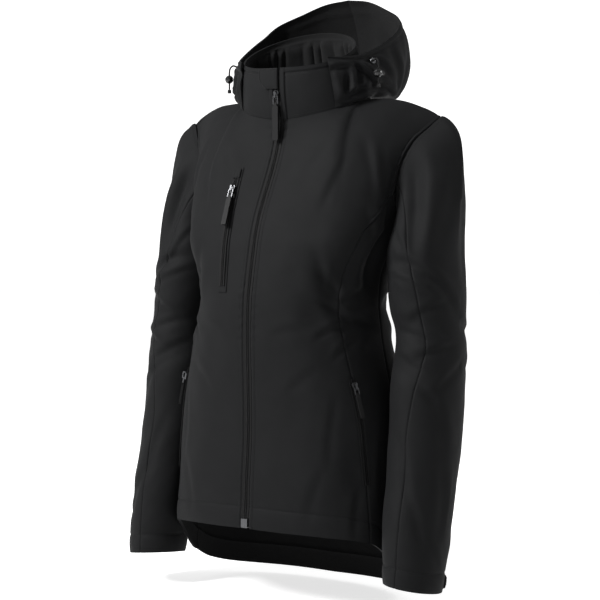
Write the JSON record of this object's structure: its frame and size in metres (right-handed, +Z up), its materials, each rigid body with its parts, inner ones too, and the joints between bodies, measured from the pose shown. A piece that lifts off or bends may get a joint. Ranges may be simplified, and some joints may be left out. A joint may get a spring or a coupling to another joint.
{
  "type": "women's hooded softshell jacket",
  "caption": "Women's fitted softshell jacket in its worn form, with full front zip, stand collar, hood worn down, chest and hand pockets and a dropped back hem.",
  "frame": {"origin": "the middle of the neck, level with the shoulder seams at the neck, where the wearer holds the jacket up", "axes": "+Z up, the wearer faces -Y, the wearer's left is +X"},
  "size_m": [0.535, 0.3207, 0.8789],
  "materials": {
    "softshell": "matt bonded softshell",
    "tape": "woven tape and moulded coil",
    "dark_metal": "dark plated",
    "gloss_black": "moulded, glossy",
    "cord": "braided elastic cord"
  },
  "bodies": {
    "jacket": {"back": "softshell", "collar": "softshell", "chin_guard": "softshell", "chest_welt": "softshell", "chest_garage": "softshell", "front_left": "softshell", "side_front_left": "softshell", "sleeve_upper_left": "softshell", "sleeve_under_left": "softshell", "cuff_tab_left": "softshell", "hood_left": "softshell", "front_right": "softshell", "side_front_right": "softshell", "sleeve_upper_right": "softshell", "sleeve_under_right": "softshell", "cuff_tab_right": "softshell", "hood_right": "softshell", "zip_main": "tape", "zip_chest": "tape", "zip_hand_left": "tape", "zip_hand_right": "tape", "zip_main_slider": "dark_metal", "zip_main_box": "dark_metal", "zip_chest_slider": "dark_metal", "zip_hand_left_slider": "dark_metal", "eyelet_left": "dark_metal", "zip_hand_right_slider": "dark_metal", "eyelet_right": "dark_metal", "cord_lock_left": "gloss_black", "cord_end_left": "gloss_black", "cord_lock_right": "gloss_black", "cord_end_right": "gloss_black", "hood_cord_left": "cord", "hood_cord_right": "cord"},
    "pull_main": {"zip_main_pull_link": "dark_metal", "zip_main_pull_tab": "tape"},
    "pull_chest": {"zip_chest_pull_link": "dark_metal", "zip_chest_pull_tab": "tape"},
    "pull_hand_left": {"zip_hand_left_pull_link": "dark_metal", "zip_hand_left_pull_tab": "tape"},
    "pull_hand_right": {"zip_hand_right_pull_link": "dark_metal", "zip_hand_right_pull_tab": "tape"},
    "plunger_left": {"cord_plunger_left": "gloss_black"},
    "plunger_right": {"cord_plunger_right": "gloss_black"}
  },
  "joints": [
    {"name": "pull_main_hinge", "type": "hinge", "parent": "jacket", "child": "pull_main", "pos_m": [0, -0.04646, 0.00252], "axis": [-1, 0, 0], "range_deg": [0, 150]},
    {"name": "pull_chest_hinge", "type": "hinge", "parent": "jacket", "child": "pull_chest", "pos_m": [-0.05431, -0.08055, -0.13166], "axis": [-0.9989, -0.0115, -0.045], "range_deg": [0, 150]},
    {"name": "pull_hand_left_hinge", "type": "hinge", "parent": "jacket", "child": "pull_hand_left", "pos_m": [0.14939, -0.06839, -0.40883], "axis": [-0.5177, -0.8399, -0.1629], "range_deg": [0, 150]},
    {"name": "pull_hand_right_hinge", "type": "hinge", "parent": "jacket", "child": "pull_hand_right", "pos_m": [-0.14939, -0.06839, -0.40883], "axis": [-0.5177, 0.8399, 0.1629], "range_deg": [0, 150]},
    {"name": "plunger_left_press", "type": "slide", "parent": "jacket", "child": "plunger_left", "axis": [-0.4222, -0.9065, 0], "range_m": [0, 0.0025], "stiffness_N_per_m": 1500, "springref_m": -0.001},
    {"name": "plunger_right_press", "type": "slide", "parent": "jacket", "child": "plunger_right", "axis": [0.4222, -0.9065, 0], "range_m": [0, 0.0025], "stiffness_N_per_m": 1500, "springref_m": -0.001}
  ]
}
